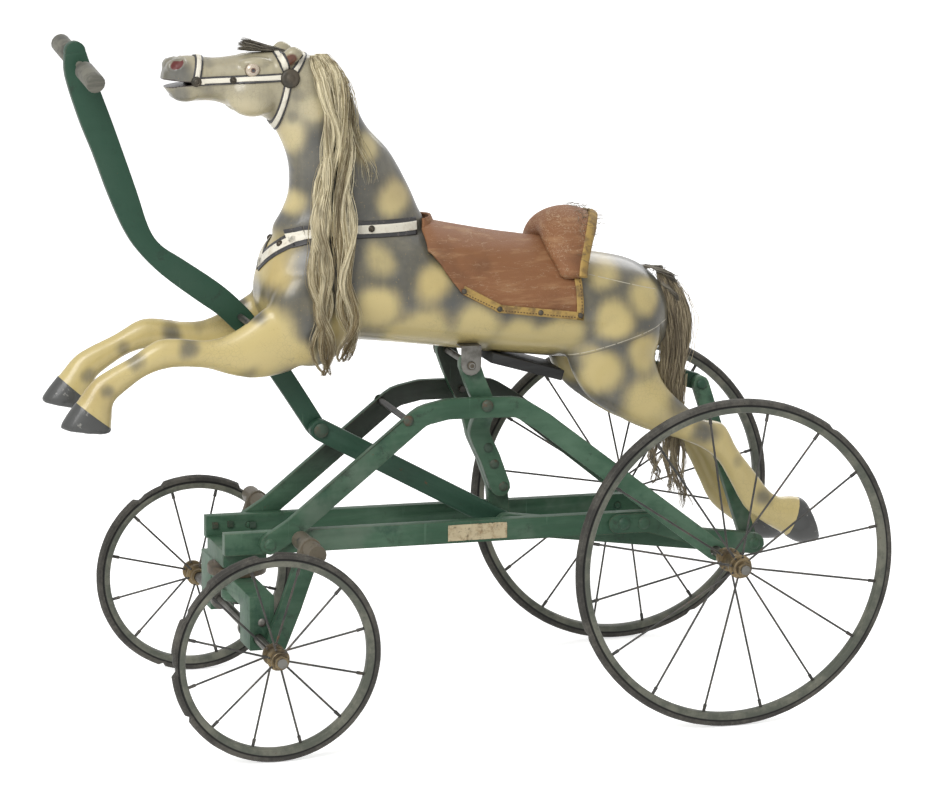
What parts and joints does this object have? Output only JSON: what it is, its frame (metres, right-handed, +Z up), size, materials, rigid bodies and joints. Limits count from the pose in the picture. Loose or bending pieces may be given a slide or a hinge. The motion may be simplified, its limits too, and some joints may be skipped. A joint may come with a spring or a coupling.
{
  "type": "bucking horse toy",
  "caption": "Ride-on toy horse that bucks on a four-wheeled wooden frame when its hand lever is pulled, steered by foot pegs.",
  "frame": {"origin": "centre of the bounding box's base, on the floor under the toy", "axes": "+Z up, -X the way the horse faces, +Y toward the horse's right side"},
  "size_m": [1, 0.5004, 0.8331],
  "materials": {
    "green_wood": "worn dark green paint over wood",
    "worn_wood": "dark worn wood",
    "cream_coat": "cream paint with blue-grey dapples under old varnish",
    "red_leather": "worn red-brown leather",
    "straw_hair": "coarse dry hair",
    "white_strap": "white oilcloth strap with dark edges",
    "dull_steel": "dull grey steel",
    "black_steel": "worn black",
    "brass": "tarnished",
    "grey_rubber": "aged and cracked",
    "rim_paint": "worn grey-green paint",
    "dark_glass": "polished dark brown",
    "aged_paper": "bare aged paper"
  },
  "bodies": {
    "frame": {"rear_axle": "black_steel", "rail_left": "green_wood", "rail_right": "green_wood", "a_frame_left": "green_wood", "a_frame_right": "green_wood", "apex_bolt_left": "black_steel", "apex_bolt_right": "black_steel", "axle_hanger_left": "black_steel", "axle_hanger_right": "black_steel", "tie_rod": "black_steel", "head_block": "green_wood", "paper_label": "aged_paper", "post_prong_left": "green_wood", "post_prong_right": "green_wood", "rocking_pivot_rod": "dull_steel", "post_foot_pin": "black_steel", "kingpin": "black_steel", "rear_wheel_nut_left": "brass", "rear_wheel_nut_right": "brass"},
    "horse": {"chest_pin": "dull_steel", "horse_body": "cream_coat", "horse_head": "cream_coat", "glass_eye_left": "dark_glass", "glass_eye_right": "dark_glass", "foreleg_left": "cream_coat", "foreleg_right": "cream_coat", "hind_leg_left": "cream_coat", "hind_leg_right": "cream_coat", "pivot_bracket_left": "dull_steel", "pivot_bracket_right": "dull_steel", "belly_board": "worn_wood", "rump_block": "green_wood", "saddle": "red_leather", "saddle_cantle": "red_leather", "bridle": "white_strap", "chest_strap": "white_strap", "mane": "straw_hair", "forelock": "straw_hair", "tail": "straw_hair"},
    "lever": {"hand_lever": "green_wood", "handle_bar": "worn_wood", "elbow_bolt": "black_steel"},
    "link": {"drag_link": "green_wood"},
    "pitman": {"pitman_strap": "green_wood"},
    "beam": {"tail_beam": "green_wood"},
    "front_truck": {"front_axle": "black_steel", "bolster": "green_wood", "steering_plate": "worn_wood", "foot_bar_left": "green_wood", "foot_bar_right": "green_wood", "front_wheel_nut_left": "brass", "front_wheel_nut_right": "brass"},
    "rear_left_wheel": {"rear_wheel_left": "rim_paint", "rear_tyre_left": "grey_rubber"},
    "rear_right_wheel": {"rear_wheel_right": "rim_paint", "rear_tyre_right": "grey_rubber"},
    "front_left_wheel": {"front_wheel_left": "rim_paint", "front_tyre_left": "grey_rubber"},
    "front_right_wheel": {"front_wheel_right": "rim_paint", "front_tyre_right": "grey_rubber"}
  },
  "joints": [
    {"name": "horse_rock", "type": "hinge", "parent": "frame", "child": "horse", "pos_m": [0.00884, 0, 0.432], "axis": [0, 1, 0], "range_deg": [-7, 2.5]},
    {"name": "lever_swing", "type": "hinge", "parent": "horse", "child": "lever", "pos_m": [-0.26316, 0, 0.494], "axis": [0, 1, 0], "range_deg": [-4.4, 12.3]},
    {"name": "link_swing", "type": "hinge", "parent": "lever", "child": "link", "pos_m": [-0.16716, 0, 0.352], "axis": [0, 1, 0], "range_deg": [-15.1, 5.4]},
    {"name": "pitman_swing", "type": "hinge", "parent": "horse", "child": "pitman", "pos_m": [0.32384, 0, 0.383], "axis": [0, 1, 0], "range_deg": [-2.6, 7.2]},
    {"name": "beam_swing", "type": "hinge", "parent": "frame", "child": "beam", "pos_m": [0.06684, 0, 0.223], "axis": [0, 1, 0], "range_deg": [-6.8, 2.5]},
    {"name": "truck_steer", "type": "hinge", "parent": "frame", "child": "front_truck", "pos_m": [-0.26916, 0, 0.185], "axis": [0, 0, 1], "range_deg": [-20, 20]},
    {"name": "rear_left_spin", "type": "hinge", "parent": "frame", "child": "rear_left_wheel", "pos_m": [0.29684, -0.2132, 0.2032], "axis": [0, 1, 0], "continuous": true},
    {"name": "rear_right_spin", "type": "hinge", "parent": "frame", "child": "rear_right_wheel", "pos_m": [0.29684, 0.2132, 0.2032], "axis": [0, 1, 0], "continuous": true},
    {"name": "front_left_spin", "type": "hinge", "parent": "front_truck", "child": "front_left_wheel", "pos_m": [-0.27316, -0.2096, 0.127], "axis": [0, 1, 0], "continuous": true},
    {"name": "front_right_spin", "type": "hinge", "parent": "front_truck", "child": "front_right_wheel", "pos_m": [-0.27316, 0.2096, 0.127], "axis": [0, 1, 0], "continuous": true}
  ],
  "couplings": [
    {"joint": "lever_swing", "follows": "horse_rock", "ratio": -1.75},
    {"joint": "link_swing", "follows": "horse_rock", "ratio": 2.15},
    {"joint": "pitman_swing", "follows": "horse_rock", "ratio": -1.02},
    {"joint": "beam_swing", "follows": "horse_rock", "ratio": 0.96}
  ]
}
